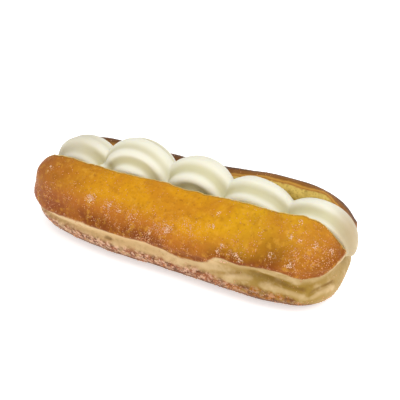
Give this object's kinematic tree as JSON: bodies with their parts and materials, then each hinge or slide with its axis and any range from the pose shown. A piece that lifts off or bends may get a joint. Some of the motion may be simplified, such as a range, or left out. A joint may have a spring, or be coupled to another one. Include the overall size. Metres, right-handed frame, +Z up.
{
  "type": "filled long john doughnut",
  "caption": "Long john doughnut, split lengthways from the top and filled with whipped cream piped as a row of ridged shells between its two flaps.",
  "frame": {"origin": "middle of the bounding box as seen from above, on the plane that the doughnut rests on", "axes": "+Z is up. +X runs along the doughnut, towards the end where the cream hangs over. -Y is the side of the flap that faces the camera in the picture."},
  "size_m": [0.1758, 0.0663, 0.0575],
  "materials": {
    "crust": "fried golden crust with a pale belt and a dusting of sugar",
    "cream": "smooth whipped cream, soft satin"
  },
  "bodies": {
    "root": {"bun": "crust", "cream": "cream"}
  },
  "joints": []
}
